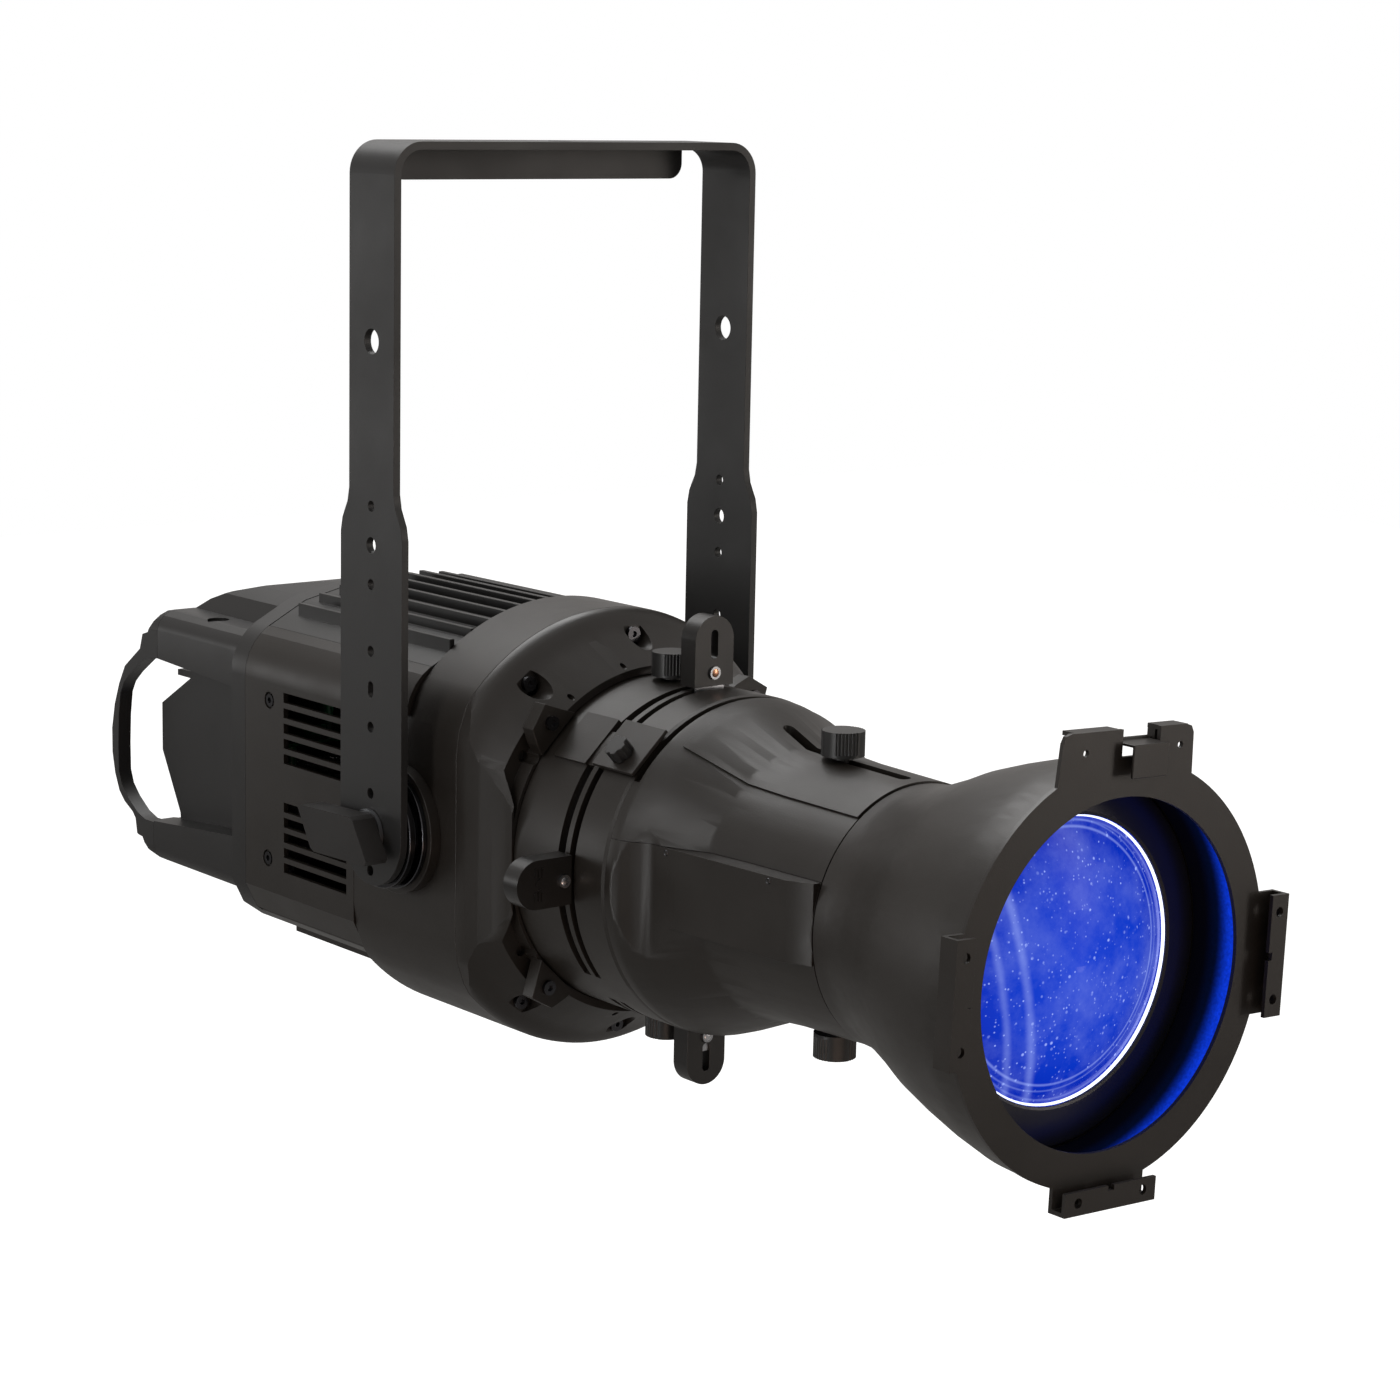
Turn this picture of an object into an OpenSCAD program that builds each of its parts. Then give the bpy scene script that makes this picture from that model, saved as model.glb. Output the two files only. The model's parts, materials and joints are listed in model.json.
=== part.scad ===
// Ellipsoidal spotlight: a lamp head in a yoke, with a turning shutter gate and a focusing lens tube.
// The optical axis runs along Y, and the light leaves towards -Y. The origin is at the middle of the
// clamp hole, on the outer face of the yoke's top bar.

/* [Yoke] */
// Width of the yoke over its legs
yoke_w = 226; // [226:1:240]
// Thickness of the yoke's strap
yoke_t = 4; // [3:0.5:4.5]
// Height of the yoke's outer top face above the optical axis
yoke_top = 344; // [340:1:380]
// Width of the strap
strap_w = 39; // [34:1:44]
// Width of the wide feet that hold the head
foot_w = 54; // [50:1:58]
// Radius of the clamp hole in the top bar
clamp_hole_r = 6.5; // [5:0.5:8]
// Height of the tilt pivot above the optical axis
pivot_z = 2.5; // [0:0.5:5]

/* [Head] */
// Radius of the round front drum
drum_r = 113; // [110:0.5:113]
// Half width over the flat sides
side_x = 93; // [90:0.5:94]
// Where the drum's face begins to slope in, ahead of the pivot
rim_y = -48; // [-52:1:-44]
// Where the sloping nose ends
nose_y = -82; // [-86:1:-80]
// Where the side covers end and the rear cap begins
cap_y = 150; // [146:1:154]
// Rear end of the control housing
tail_y = 268; // [262:1:272]

/* [Barrel] */
// Outer radius of the shutter gate
gate_r = 84; // [82:0.5:84]
// Radius of the focusing lens tube
tube_r = 58.3; // [56:0.1:59]
// Front end of the fixed barrel
barrel_end = -278; // [-282:1:-274]
// Front plane of the accessory plate
plate_y = -404; // [-408:1:-400]
// Radius of the hole in the accessory plate
aperture_r = 78.5; // [76:0.5:80]
// Outer radius of the accessory plate
plate_r = 95; // [92:0.5:98]
// Turn of the accessory plate on the tube's end, in degrees
holder_turn = 2.3; // [0:0.1:5]

/* [Hidden] */
$fn = 96;
eps = 0.01;
gap = 0.3;

// Yoke
yoke_r = 16;
foot_top = 151.6;
neck_top = 174;
flange_drop = 19.5;
flange_half = 91.7;
yoke_x = yoke_w / 2;
bolt_r = 6;
bolt_fit = 0.06;

// Head
side_t = 3;
joint_y = 45;
roof_y = -2;
shoulder_x = 78;
shoulder_z = 57.5;
shoulder_r = 30;
skirt_z = -56;
floor_z = -82;
slot_pitch = 8.2;
slot_h = 5.3;
slot_y = [52, 112];
fin_pitch = 13;
fin_t = 3;
fin_y = 139;
cheek_y = -73;
boss_r = 33;

// Gate
gate_end = -153.5;
gate_wall = 5;
shutter_y = [-120.3, -121.6, -127, -129];
blade_t = 0.8;
grip_y = [-130.5, -119.5];
grip_w = 24;
groove_y = [-122.3, -116.9, -130.3, -125.8];
cover_a = 43;
clamp_angles = [46, 134, 226, 314];
knob_y = -98;
knob_r = 10.3;

// Barrel and lens tube
bore_r = tube_r + gap;
seam_z = 24;
focus_y = -226;
slot_ends = [-268, -188];
hood_y = barrel_end - 1.2;
lip_out = 102;
lip_w = 10.7;
lip_front = -412;

// Solids drawn as an outline in X and Z, run from y0 to y1
module along_y(y0, y1) {
    translate([0, y1, 0]) rotate([90, 0, 0]) linear_extrude(y1 - y0) children();
}
// Solids drawn as an outline in Y and Z, run from x0 to x1
module along_x(x0, x1) {
    translate([x0, 0, 0]) rotate([90, 0, 90]) linear_extrude(x1 - x0) children();
}
// A ring or shell turned about the optical axis from [radius, y] points
module turned(points, steps = 96) {
    rotate([-90, 0, 0]) rotate_extrude($fn = steps) polygon(points);
}
// A round rod along X, Y or Z, between two places
module rod_x(x0, x1, r) translate([x0, 0, 0]) rotate([0, 90, 0]) cylinder(h = x1 - x0, r = r);
module rod_y(y0, y1, r) translate([0, y1, 0]) rotate([90, 0, 0]) cylinder(h = y1 - y0, r = r);
module rod_z(z0, z1, r) translate([0, 0, z0]) cylinder(h = z1 - z0, r = r);
module both_sides() {
    children();
    mirror([1, 0, 0]) children();
}
module block(from, to) translate(from) cube(to - from);
// A pan-head screw pointing along -Y with its head at the origin
module screw(head_r = 3.6, head_h = 2.4, shank_r = 1.9, shank_l = 8) {
    difference() {
        rod_y(-head_h, 0, head_r);
        translate([0, -head_h, 0]) rotate([90, 0, 0]) cylinder(h = 2.6, r = 1.7, $fn = 6, center = true);
    }
    rod_y(-eps, shank_l, shank_r);
}

// ---- Yoke ----
module bow(w, z_high, r) {
    translate([-w / 2, 0]) square([w, z_high - r]);
    translate([-w / 2 + r, 0]) square([w - 2 * r, z_high]);
    for (s = [-1, 1]) translate([s * (w / 2 - r), z_high - r]) circle(r);
}
module foot_outline() {
    translate([0, pivot_z]) circle(foot_w / 2);
    translate([-foot_w / 2, pivot_z]) square([foot_w, foot_top - pivot_z]);
    polygon([[-foot_w / 2, foot_top - eps], [foot_w / 2, foot_top - eps], [foot_w / 2 - 1.5, foot_top + 7],
        [strap_w / 2 + 1.5, neck_top - 7], [strap_w / 2, neck_top], [-strap_w / 2, neck_top],
        [-strap_w / 2 - 1.5, neck_top - 7], [-foot_w / 2 + 1.5, foot_top + 7]]);
}
module leg_holes() {
    translate([0, 0, pivot_z]) rod_x(-yoke_x - 1, yoke_x + 1, bolt_r + bolt_fit);
    translate([0, 0, 247.2]) rod_x(-yoke_x - 1, yoke_x + 1, 6.25);
    translate([0, 0, 147.1]) rod_x(-yoke_x - 1, yoke_x + 1, 4);
    for (z = [166.4, 127.5, 94.1, 55.9, 22.2, -17.2])
        translate([0, 0, z]) rod_x(-yoke_x - 1, yoke_x + 1, 2.75);
    for (z = [73.1, 76.7]) translate([0, 0, z]) rod_x(-yoke_x - 1, yoke_x + 1, 2.3);
    block([-yoke_x - 1, -2.3, 73.1], [yoke_x + 1, 2.3, 76.7]);
}
module flange_outline() {
    low = yoke_top - flange_drop;
    translate([-flange_half, low + 8]) square([2 * flange_half, flange_drop - 10]);
    translate([-flange_half + 8, low]) square([2 * flange_half - 16, flange_drop - 2]);
    for (s = [-1, 1]) translate([s * (flange_half - 8), low + 8]) circle(8);
}
module yoke_frame() color("#2a2a2c") difference() {
    union() {
        along_y(-strap_w / 2, strap_w / 2) difference() {
            translate([0, foot_top]) bow(yoke_w, yoke_top - foot_top, yoke_r);
            translate([0, foot_top - eps])
                bow(yoke_w - 2 * yoke_t, yoke_top - foot_top - yoke_t + eps, yoke_r - yoke_t);
        }
        both_sides() along_x(yoke_x - yoke_t, yoke_x) foot_outline();
        along_y(strap_w / 2 - yoke_t, strap_w / 2) flange_outline();
    }
    leg_holes();
    rod_z(yoke_top - yoke_t - 1, yoke_top + 1, clamp_hole_r);
}

// ---- Head: shells and covers ----
// Cross-section of the rear half of the head, inset by t
module box_outline(t = 0) {
    x = side_x - t;
    r = shoulder_r - t;
    c = side_x - shoulder_r;
    polygon([[-x, skirt_z], for (a = [180:-12:120]) [-c + r * cos(a), shoulder_z + r * sin(a)],
        [-55, 95.5 - t], [-28, 101.5 - t], [0, 103 - t], [28, 101.5 - t], [55, 95.5 - t],
        for (a = [60:-12:0]) [c + r * cos(a), shoulder_z + r * sin(a)], [x, skirt_z],
        [86 - t, -70 + t * 0.4], [74 - t * 0.4, -78.5 + t], [58, floor_z + t], [-58, floor_z + t],
        [-74 + t * 0.4, -78.5 + t], [-86 + t, -70 + t * 0.4]]);
}
// The drum is a circle cut to flat sides with eased corners; grow moves the outline out
function corner(g) = [[side_x + g, 46], [side_x - 1.4 + g, 58 + 0.3 * g],
    [side_x - 5.4 + 0.8 * g, 69.5 + 0.6 * g], [side_x - 12 + 0.7 * g, 80.5 + 0.7 * g], [60, 125]];
module flat_sides(g = 0) {
    c = corner(g);
    polygon(concat(c, [for (i = [4:-1:0]) [-c[i][0], c[i][1]]],
        [for (p = c) [-p[0], -p[1]]], [for (i = [4:-1:0]) [c[i][0], -c[i][1]]]));
}
module drum_outline(g = 0) intersection() {
    circle(drum_r + g, $fn = 128);
    flat_sides(g);
}
// Clamp blocks that hold the gate in the nose, drawn as an outline across the axis
module clamp_outline(grow = 0) {
    for (a = clamp_angles) mirror([0, 1]) rotate(a)
        polygon([[gate_r + 0.7 - grow, -14.5 - grow], [gate_r + 0.7 - grow, 13 + grow],
            [102 + grow, 4 + grow], [98.5 + grow, -9.6 - grow], [90.5, -13 - grow]]);
}
cheek = [[-60, 73], [-74, 60], [-83.6, 46], [-84.2, 40], [-84.2, -42], [-83, -50], [-77, -61], [-64, -72],
    [-40, -50], [-40, 50]];
scoop_angles = [-36, 3, 37, 143, 181, -142];
shell_outside = [[0, rim_y + 2], [drum_r, rim_y + 2], [drum_r - 0.4, rim_y - 0.5],
    [drum_r - 1.6, rim_y - 3], [drum_r - 3.6, rim_y - 5.6], [drum_r - 6.5, rim_y - 8.6],
    [drum_r - 11, rim_y - 13.5], [gate_r + 4.4, nose_y], [0, nose_y]];
shell_inside = [[0, rim_y + 3], [drum_r - 8, rim_y + 3], [drum_r - 9, rim_y - 3],
    [gate_r + 2, -68], [gate_r + 0.5, -68], [gate_r + 0.5, nose_y - 1], [0, nose_y - 1]];
// Half of the shell seen from above: its flat sides bend in towards the nose
shell_half = [[side_x + 2, rim_y + 3], [side_x + 0.4, rim_y - 2], [side_x - 0.6, rim_y - 6],
    [side_x - 2, rim_y - 13.5],
    [side_x - 4.2, rim_y - 21.5], [side_x - 6.8, rim_y - 29], [side_x - 7.8, nose_y - 1]];
shell_plan = concat(shell_half, [for (i = [6:-1:0]) [-shell_half[i][0], shell_half[i][1]]]);
module front_shell() color("#242426") difference() {
    intersection() {
        turned(shell_outside, 128);
        along_y(nose_y - 1, rim_y + 3) flat_sides();
        translate([0, 0, -120]) linear_extrude(240) polygon(shell_plan);
    }
    intersection() {
        turned(shell_inside, 128);
        along_y(nose_y - 2, rim_y + 4) flat_sides(-4);
    }
    along_y(nose_y - 1, cheek_y) difference() {
        union() {
            polygon(cheek);
            mirror([1, 0]) polygon(cheek);
        }
        circle(gate_r + 2.2);
    }
    along_y(nose_y - 1, nose_y + 6) clamp_outline(0.1);
    both_sides() for (z = [49, -49]) translate([-72.5, 0, z]) rod_y(nose_y, cheek_y + 4, 2.9);
    for (a = scoop_angles) rotate([0, a, 0]) translate([0, 0, 101]) rod_y(nose_y, -58, 6.5);
    for (a = scoop_angles) rotate([0, a, 0]) translate([0, 0, 101]) rod_y(-63, rim_y + 9, 2.1);
    for (a = [-32, -10, 10, 32, 169, 191]) rotate([0, a, 0]) translate([0, 0, 90.5])
        rod_y(nose_y - 1, -70, 1.3);
}
module drum_housing() color("#262628") difference() {
    along_y(rim_y + 2.2, joint_y) drum_outline();
    along_y(rim_y + 1, roof_y - 3) drum_outline(-4);
    along_y(roof_y - 4, joint_y - 3) difference() {
        drum_outline(-4);
        translate([-120, 57]) square([240, 60]);
    }
    along_y(roof_y - 4, joint_y + 1) box_outline(side_t + 0.3);
    block([-120, roof_y, 60], [120, joint_y + 1, 130]);
    translate([0, 0, pivot_z]) rod_x(-side_x - 1, side_x + 1, 20);
}
module side_vents() {
    for (base = [51.5, -7.5]) for (i = [0:4])
        block([-side_x - 1, slot_y[0], base - i * slot_pitch - slot_h / 2],
            [-side_x + side_t + 1, slot_y[1], base - i * slot_pitch + slot_h / 2]);
}
module side_cover() difference() {
    union() {
        along_y(joint_y + 0.2, cap_y) intersection() {
            difference() {
                box_outline();
                box_outline(side_t);
            }
            polygon([[-200, -70], [-86 + side_t, -70], [-86 + side_t, 0], [-shoulder_x, 0],
                [-shoulder_x, 200], [-200, 200]]);
        }
        along_y(roof_y + 0.2, joint_y + 0.3) intersection() {
            difference() {
                box_outline();
                box_outline(side_t);
            }
            polygon([[-200, 60], [-86, 60], [-shoulder_x, 70], [-shoulder_x, 200], [-200, 200]]);
        }
    }
    side_vents();
    for (p = [[126, 48], [128, -38]]) {
        translate([0, p[0], p[1]]) rod_x(-side_x - 1, -side_x + 1.4, 4.6);
        translate([0, p[0], p[1]]) rod_x(-side_x - 1, -side_x + side_t + 1, 2.1);
    }
}
module side_cover_left() color("#28282a") side_cover();
module side_cover_right() color("#28282a") mirror([1, 0, 0]) side_cover();
function fin_top(x) = 108.5 - x * x * 0.0029;
module cooling_fins() color("#1d1d1f") {
    along_y(roof_y + 0.2, cap_y) intersection() {
        difference() {
            box_outline(0.2);
            box_outline(3.2);
        }
        translate([-shoulder_x + 0.3, 60]) square([2 * shoulder_x - 0.6, 60]);
    }
    for (i = [-5:5]) {
        x = i * fin_pitch;
        difference() {
            block([x - fin_t / 2, roof_y + 0.2, 82], [x + fin_t / 2, fin_y, fin_top(x)]);
            along_y(-10, 160) box_outline(3);
        }
    }
    block([-40, led_y + 6.1, -44], [40, led_y + 34, 100]);
}
module bottom_tray() color("#232325") along_y(joint_y + 0.2, cap_y) intersection() {
    difference() {
        box_outline();
        box_outline(side_t);
    }
    translate([-86 + side_t + 0.1, -100]) square([2 * (86 - side_t) - 0.2, 40]);
}
module base_plate() color("#1b1b1d") difference() {
    block([-60, 14, floor_z - 6], [60, 152, floor_z]);
    along_y(0, joint_y + 0.1) circle(drum_r, $fn = 128);
    for (x = [-45, 45]) for (y = [60, 138]) translate([x, y, 0]) rod_z(floor_z - 7, floor_z - 3, 3);
}

// ---- Rear cap and its handles ----
arm_top = [[cap_y + 0.4, 47], [cap_y + 0.4, 79], [247, 79.3], [247, 52.5], [162, 48.5]];
arm_low = [[cap_y + 6, -33], [cap_y + 6, -65.5], [252.8, -62.4], [252.8, -41]];
// Cross-section that rounds off the outer edges of both arms
arm_round = [[-60, 80.4], [-76, 79.8], [-81, 78.8], [-85.4, 76.4], [-88.6, 72.8], [-90, 68.4], [-90, -55.4],
    [-88.8, -59.2], [-86, -62.6], [-81.6, -65], [-76, -66], [-60, -66.4]];
module tail_outline(t = 0) {
    polygon([[cap_y + 4, 56 - t], [236, 42 - t], [tail_y - t, 23 - t * 0.6], [tail_y - t, -4 + t * 0.2],
        [249 - t, -37], [246 - t, -60 + t], [cap_y + 4, -66 + t]]);
}
module rear_cap() color("#2b2b2d") difference() {
    union() {
        along_y(cap_y + 0.2, cap_y + 14) box_outline();
        along_x(-75, 75) tail_outline();
        both_sides() {
            intersection() {
                along_x(-90, -62) polygon(arm_top);
                along_y(cap_y, 250) polygon(arm_round);
            }
            intersection() {
                along_x(-90, -70) polygon(arm_low);
                along_y(cap_y, 255) polygon(arm_round);
            }
        }
        along_x(-75, 75) polygon([[cap_y + 6, 41.5], [250.5, 41.5], [250.5, 44.8], [cap_y + 6, 50]]);
        intersection() {
            along_x(-66, 66) polygon([[cap_y + 5, 50], [cap_y + 5, 102.5], [175, 100.5], [200, 96.5],
                [220, 91.5], [236, 85.5], [247, 79], [253, 73], [256, 66], [256, 58], [252, 50]]);
            along_y(cap_y, tail_y) polygon([[-66, 40], [-66, 78], [-60, 90], [-50, 96], [-28, 101.5],
                [0, 103], [28, 101.5], [50, 96], [60, 90], [66, 78], [66, 40]]);
        }
    }
    along_y(cap_y, cap_y + 9) box_outline(4);
    along_x(-71, 71) tail_outline(4);
    along_y(cap_y + 5, 238) polygon([[-60, 57], [-60, 74], [-46, 84], [46, 84], [60, 74], [60, 57]]);
    block([-52, tail_y - 6, -3], [52, tail_y + 1, 22]);
    translate([0, 200, -52]) for (x = [-48, -16, 16, 48]) translate([x, 0, 0]) rod_y(20, 60, 11.2);
    both_sides() translate([-76, 205, 0]) rod_z(77.5, 81, 6);
}
// A grab handle: the round-edged bar, and the thicker feet that close the ends of the arms
module grab_handle() {
    along_x(-90, -82) polygon([[247.2, 79.3], [250, 78.6], [252.8, 73.5], [257.8, 66], [263.4, 64.3],
        [266.4, 55.5], [274.3, 49.8], [283.4, 43.2], [290, 32.2], [295.3, 19.6], [298.6, 5], [298.5, -9],
        [295.7, -20.6], [291, -30.2], [285.2, -35.4], [276.4, -39.8], [273.2, -43], [271.4, -51.6],
        [265.6, -52.4], [261, -58.6], [253, -62.4], [253, -41.6], [262, -41.8], [271, -39],
        [281.5, -32.4], [288.3, -26], [291.4, -18.5], [291.7, -2.8], [290.8, 13.7], [288.6, 27],
        [284.8, 33.4], [277, 40], [262, 49.9], [247.2, 52.6]]);
    along_x(-90, -66) polygon([[247.2, 79.3], [250, 78.6], [252.8, 73.5], [257.8, 66], [263, 64.3],
        [264, 54], [260, 51], [247.2, 52.6]]);
    along_x(-90, -71) polygon([[253, -41.6], [263, -43], [269, -47.5], [270, -52], [265.6, -52.4],
        [261, -58.6], [253, -62.4]]);
}
module rounded_handle() intersection() {
    grab_handle();
    along_y(240, 300) polygon(arm_round);
}
module grab_handle_left() color("#1f1f21") rounded_handle();
module grab_handle_right() color("#1f1f21") mirror([1, 0, 0]) rounded_handle();

// ---- Controls and sockets ----
button_x = [-6, 10, 26, 42];
module control_panel() color("#161618") difference() {
    block([-52, tail_y - 6, -3], [52, tail_y - 2, 22]);
    block([-46, tail_y - 4, 1], [-16, tail_y - 1, 18]);
    for (x = button_x) translate([x, 0, 9.5]) rod_y(tail_y - 8, tail_y, 4.2);
}
module display_window() color("#0b1a2c") block([-45.7, tail_y - 4, 1.3], [-16.3, tail_y - 2.6, 17.7]);
module panel_button(x) translate([x, 0, 9.5]) {
    rod_y(tail_y - 6, tail_y - 0.8, 4.1);
    rod_y(tail_y - 9, tail_y - 6, 3);
}
module button_menu() color("#3a3a3c") panel_button(button_x[0]);
module button_up() color("#3a3a3c") panel_button(button_x[1]);
module button_down() color("#3a3a3c") panel_button(button_x[2]);
module button_enter() color("#3a3a3c") panel_button(button_x[3]);
socket_y = 246;
module socket(x, bore_d) translate([x, 0, -52]) difference() {
    union() {
        rod_y(228, socket_y + 4, 11);
        rod_y(socket_y + 3, socket_y + 6, 13);
    }
    rod_y(234, socket_y + 7, bore_d);
}
module power_inlet() color("#2a4fa0") socket(-48, 7.5);
module power_outlet() color("#8c8e92") socket(-16, 7.5);
module data_inlet() color("#9a9ca0") socket(16, 8.5);
module data_outlet() color("#9a9ca0") socket(48, 8.5);

// ---- Inside the head ----
module fan_frame() color("#202022") difference() {
    union() {
        block([-40, 104, -40], [40, 124, 40]);
        block([-40, 110, floor_z + side_t], [40, 118, -38]);
    }
    rod_y(100, 130, 37);
}
module fan_spokes() {
    for (a = [45:90:315]) rotate([0, a, 0]) block([-1.5, 121, 10], [1.5, 124, 38]);
    rod_y(121, 124, 12);
    rod_y(108, 122, 2.9);
}
module fan_rotor() color("#2d2d2f") difference() {
    union() {
        rod_y(106, 120, 13);
        for (a = [0:51.43:359]) rotate([0, a, 0]) translate([0, 113, 0]) rotate([0, 0, 35])
            block([-1, -7, 11], [1, 7, 35]);
    }
    rod_y(105, 121, 3);
}
module power_supply() color("#b9bbbe") difference() {
    union() {
        block([-60, 166, -55], [60, 226, -10]);
        for (x = [-50, 50]) for (p = [[176, -60], [216, -57.4]]) translate([x, p[0], 0]) rod_z(p[1], -54, 4);
    }
    block([-58, 168, -53], [58, 224, -12]);
    for (x = [-48:8:48]) block([x - 2, 170, -13], [x + 2, 220, -9]);
}
module control_board() color("#1d5a34") {
    block([-55, 166, 12], [55, 236, 13.6]);
    for (x = [-50, 50]) for (y = [172, 220]) translate([x, y, 0]) rod_z(-10, 12.1, 3);
    for (x = [-40, -10, 25]) block([x, 176, 13.6], [x + 16, 192, 20]);
    for (x = [-30, 0, 30]) translate([x, 216, 0]) rod_z(13.6, 26, 5);
}
led_y = 14;
module led_module() color("#a9753a") {
    difference() {
        rod_y(led_y, led_y + 6, 46);
        for (a = [45:90:315]) rotate([0, a, 0]) translate([0, 0, 40]) rod_y(led_y - 1, led_y + 7, 2);
    }
    rod_y(led_y - 2, led_y + 1, 15);
    for (x = [-9:4.5:9]) for (z = [-9:4.5:9]) if (x * x + z * z < 120)
        block([x - 1.7, led_y - 3, z - 1.7], [x + 1.7, led_y - 1.9, z + 1.7]);
}
module condenser_lens() color("#dfe8f0") turned([
    [0, -50], [10, -49.2], [20, -46.8], [30, -42.5], [36, -39], [36, -35], [0, -35]]);
module light_cone() color("#3a3a3e") turned([
    [22, led_y], [46, led_y], [46, led_y - 4], [40, -30], [40, -54], [36.1, -54],
    [36.1, -34], [34, -33], [22, led_y - 4]]);
module fan_parts() {
    fan_frame();
    color("#202022") fan_spokes();
}

// ---- Tilt pivots and locks ----
module pivot_blocks() color("#1e1e20") both_sides() translate([0, 0, pivot_z]) difference() {
    union() {
        rod_x(-99, -side_x, boss_r);
        rod_x(-side_x - eps, -side_x + 3, 19.9);
        rod_x(-side_x + 3 - eps, -70, 17);
    }
    rod_x(-100, -74, bolt_r + bolt_fit);
    for (a = [30, 90, 150, 210, 270, 330]) rotate([a, 0, 0]) translate([0, 0, 26]) rod_x(-100, -98, 2);
}
module friction_discs() color("#8f9194") both_sides() translate([0, 0, pivot_z]) difference() {
    union() {
        rod_x(-101.8, -99, 30);
        rod_x(-105.2, -101.8, 24);
        rod_x(-yoke_x + yoke_t + 0.3, -105.2, 29);
    }
    rod_x(-110, -98, bolt_r + bolt_fit);
}
module pivot_bolt() translate([0, 0, pivot_z]) union() {
    rod_x(-123, -77, bolt_r);
    rod_x(-yoke_x - 2.5, -yoke_x - 0.3, 12);
}
module pivot_bolt_left() color("#9a9ca0") pivot_bolt();
module pivot_bolt_right() color("#9a9ca0") mirror([1, 0, 0]) pivot_bolt();
module tilt_lever() difference() {
    union() {
        translate([0, 0, pivot_z]) rod_x(-131, -yoke_x - 2.6, 11);
        along_x(-131, -118) polygon([[39, 10.8], [36, 12.2], [-8, 13.8], [-11, 12.4],
            [-23, -6.2], [-21, -8.6], [24, -9.8], [27, -8.4]]);
    }
    translate([0, 0, pivot_z]) rod_x(-123.2, -yoke_x + 1, bolt_r + bolt_fit);
}
module tilt_lever_left() color("#161617") tilt_lever();
module tilt_lever_right() color("#161617") mirror([1, 0, 0]) tilt_lever();

// ---- Screws and clamps ----
module clamp_screws_at() {
    for (a = clamp_angles) rotate([0, a, 0]) translate([gate_r + 8.5, 0, 0]) children();
}
module barrel_clamps() color("#29292b") difference() {
    along_y(nose_y - 2.5, nose_y + 5.9) clamp_outline();
    clamp_screws_at() rod_y(nose_y - 3, nose_y + 8, 2.1);
}
module housing_screws() color("#3b3c40") {
    for (a = scoop_angles) rotate([0, a, 0]) translate([0, -58.1, 101]) screw(3.8, 2.6, 2, 10);
    clamp_screws_at() translate([0, nose_y - 2.5, 0]) screw(3.6, 2, 2, 9);
    both_sides() for (p = [[126, 48], [128, -38]])
        translate([-side_x + 1.3, p[0], p[1]]) rotate([0, 0, -90]) screw(3.4, 1.2, 1.9, 8);
}

// ---- Gate: turns about the optical axis ----
module gate_barrel() color("#29292b") difference() {
    union() {
        turned([[gate_r - gate_wall, -58], [88.2, -58], [88.2, -61.5], [gate_r, -61.5],
            [gate_r, gate_end + 2],
            [gate_r - 0.6, gate_end], [gate_r - gate_wall, gate_end]]);
        rotate([0, -cover_a, 0]) difference() {
            block([-14, -116.9, 78], [14, -92, gate_r + 0.8]);
            rod_y(-120, -90, gate_r - 2);
        }
    }
    for (i = [0, 2]) for (a = [0:90:270]) rotate([0, a, 0]) difference() {
        turned([[gate_r - gate_wall - 1, groove_y[i]], [gate_r + 1, groove_y[i]],
            [gate_r + 1, groove_y[i + 1]], [gate_r - gate_wall - 1, groove_y[i + 1]]]);
        rotate([0, -38, 0]) block([-200, -200, -200], [0, 0, 200]);
        rotate([0, 38, 0]) block([0, -200, -200], [200, 0, 200]);
        block([-200, -200, -200], [200, 0, 0]);
    }
    rotate([0, -cover_a, 0]) {
        block([0, -149, 70], [11, -131.9, 95]);
        translate([-5, -140, 0]) rod_z(70, 95, 2.05);
    }
    for (s = [0, 180]) rotate([0, s, 0]) translate([0, knob_y, 0]) rod_z(70, 90, 3.05);
}
module gate_plates() color("#3c3d40") difference() {
    union() {
        for (y = [-112, -117.6, -123, -130.4]) rod_y(y - 1.4, y, gate_r - gate_wall - 0.03);
        difference() {
            rod_y(-131.8, -111, gate_r - gate_wall - 0.03);
            rod_y(-133, -110, gate_r - gate_wall - 1.5);
            for (i = [0, 2]) rod_y(groove_y[i], groove_y[i + 1], 100);
        }
    }
    rod_y(-140, -100, 38);
}
module slot_cover() color("#242426") rotate([0, -cover_a, 0]) difference() {
    block([-14, -155, gate_r + 0.8], [14, -124, gate_r + 2.8]);
    translate([-5, -140, 0]) rod_z(70, 100, 2.05);
}
module slot_cover_knob() color("#2f2f31") rotate([0, -cover_a, 0]) translate([-5, -140, 0]) {
    rod_z(76, gate_r + 4, 2);
    difference() {
        rod_z(gate_r + 3, gate_r + 10, 6);
        for (a = [0:60:300]) rotate([0, 0, a]) translate([7, 0, 0]) rod_z(80, 100, 2);
    }
}
module thumb_knob(base, y) translate([0, y, 0]) difference() {
    union() {
        rod_z(base - 12, base, 3);
        rod_z(base, base + 1.6, 5.5);
        rod_z(base + 1.6, base + 13.6, knob_r);
    }
    for (a = [0:120:240]) for (b = [-27:9:27]) rotate([0, 0, a + b]) translate([knob_r + 0.35, 0, 0])
        translate([0, 0, base + 3]) cylinder(h = 12, r = 0.8, $fn = 12);
}
module gate_knob_top() color("#343436") thumb_knob(gate_r + 0.4, knob_y);
module gate_knob_bottom() color("#343436") rotate([0, 180, 0]) thumb_knob(gate_r + 0.4, knob_y);

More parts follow.
